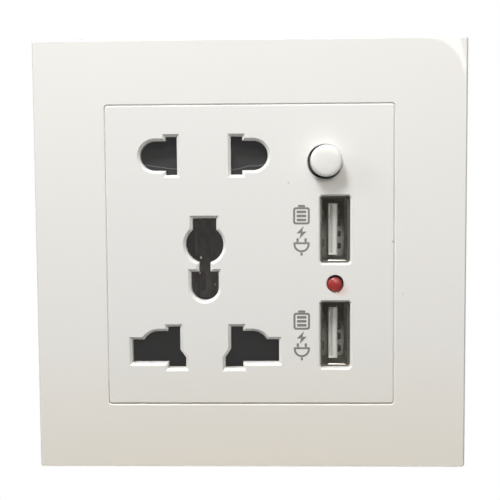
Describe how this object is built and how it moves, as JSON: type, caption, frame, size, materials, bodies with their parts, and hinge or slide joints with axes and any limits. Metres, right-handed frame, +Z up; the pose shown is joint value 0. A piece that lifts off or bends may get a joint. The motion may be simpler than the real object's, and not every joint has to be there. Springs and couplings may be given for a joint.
{
  "type": "wall socket",
  "caption": "Square white wall socket with universal pin slots behind sliding shutters, charging ports, a push button and a red indicator lamp.",
  "frame": {"origin": "on the wall plane, midway between the two box screws", "axes": "+Y into the wall, +Z up, +X to the viewer's right; the front faces -Y"},
  "size_m": [0.086, 0.039, 0.086],
  "materials": {
    "frame_white": "smooth moulded white",
    "panel_white": "smooth moulded white",
    "carrier_white": "moulded white",
    "inner_dark": "moulded dark grey",
    "shutter_dark": "moulded dark grey",
    "housing_dark": "moulded dark grey",
    "spring_steel": "drawn wire",
    "contact_brass": "stamped strip",
    "terminal_brass": "turned and milled",
    "screw_steel": "zinc plated",
    "port_steel": "bent sheet",
    "tongue_white": "moulded white",
    "port_tin": "tin plated contact",
    "board_green": "laminate",
    "switch_black": "moulded black",
    "button_white": "smooth moulded white",
    "lamp_red": "clear red lens",
    "lead_steel": "tinned wire",
    "ferrite_grey": "sintered",
    "coil_yellow": "wound and taped",
    "capacitor_black": "sleeved can",
    "chip_black": "moulded black"
  },
  "bodies": {
    "socket": {"face_frame": "frame_white", "socket_panel": "panel_white", "mounting_carrier": "carrier_white", "inner_cover": "inner_dark", "upper_shutter_spring": "spring_steel", "lower_shutter_spring": "spring_steel", "switch_spring": "spring_steel", "rear_housing": "housing_dark", "neutral_contact": "contact_brass", "earth_contact": "contact_brass", "live_contact": "contact_brass", "neutral_terminal": "terminal_brass", "earth_terminal": "terminal_brass", "live_terminal": "terminal_brass", "terminal_screws": "screw_steel", "power_board": "board_green", "housing_screws": "screw_steel", "upper_port_shell": "port_steel", "lower_port_shell": "port_steel", "upper_port_tongue": "tongue_white", "lower_port_tongue": "tongue_white", "upper_port_contacts": "port_tin", "lower_port_contacts": "port_tin", "switch_body": "switch_black", "indicator_lamp": "lamp_red", "lamp_leads": "lead_steel", "transformer_core": "ferrite_grey", "transformer_coil": "coil_yellow", "input_capacitor": "capacitor_black", "output_capacitor": "capacitor_black", "control_chip": "chip_black"},
    "button": {"button_cap": "button_white", "switch_plunger": "switch_black"},
    "upper_shutter": {"upper_shutter": "shutter_dark"},
    "lower_shutter": {"lower_shutter": "shutter_dark"}
  },
  "joints": [
    {"name": "button_press", "type": "slide", "parent": "socket", "child": "button", "axis": [0, 1, 0], "range_m": [0, 0.002], "stiffness_N_per_m": 400, "springref_m": -0.001, "deforming": ["switch_spring"]},
    {"name": "upper_shutter_slide", "type": "slide", "parent": "socket", "child": "upper_shutter", "axis": [0, 0, -1], "range_m": [0, 0.0077], "stiffness_N_per_m": 60, "springref_m": -0.004, "deforming": ["upper_shutter_spring"]},
    {"name": "lower_shutter_slide", "type": "slide", "parent": "socket", "child": "lower_shutter", "axis": [0, 0, 1], "range_m": [0, 0.00857], "stiffness_N_per_m": 60, "springref_m": -0.004, "deforming": ["lower_shutter_spring"]}
  ]
}
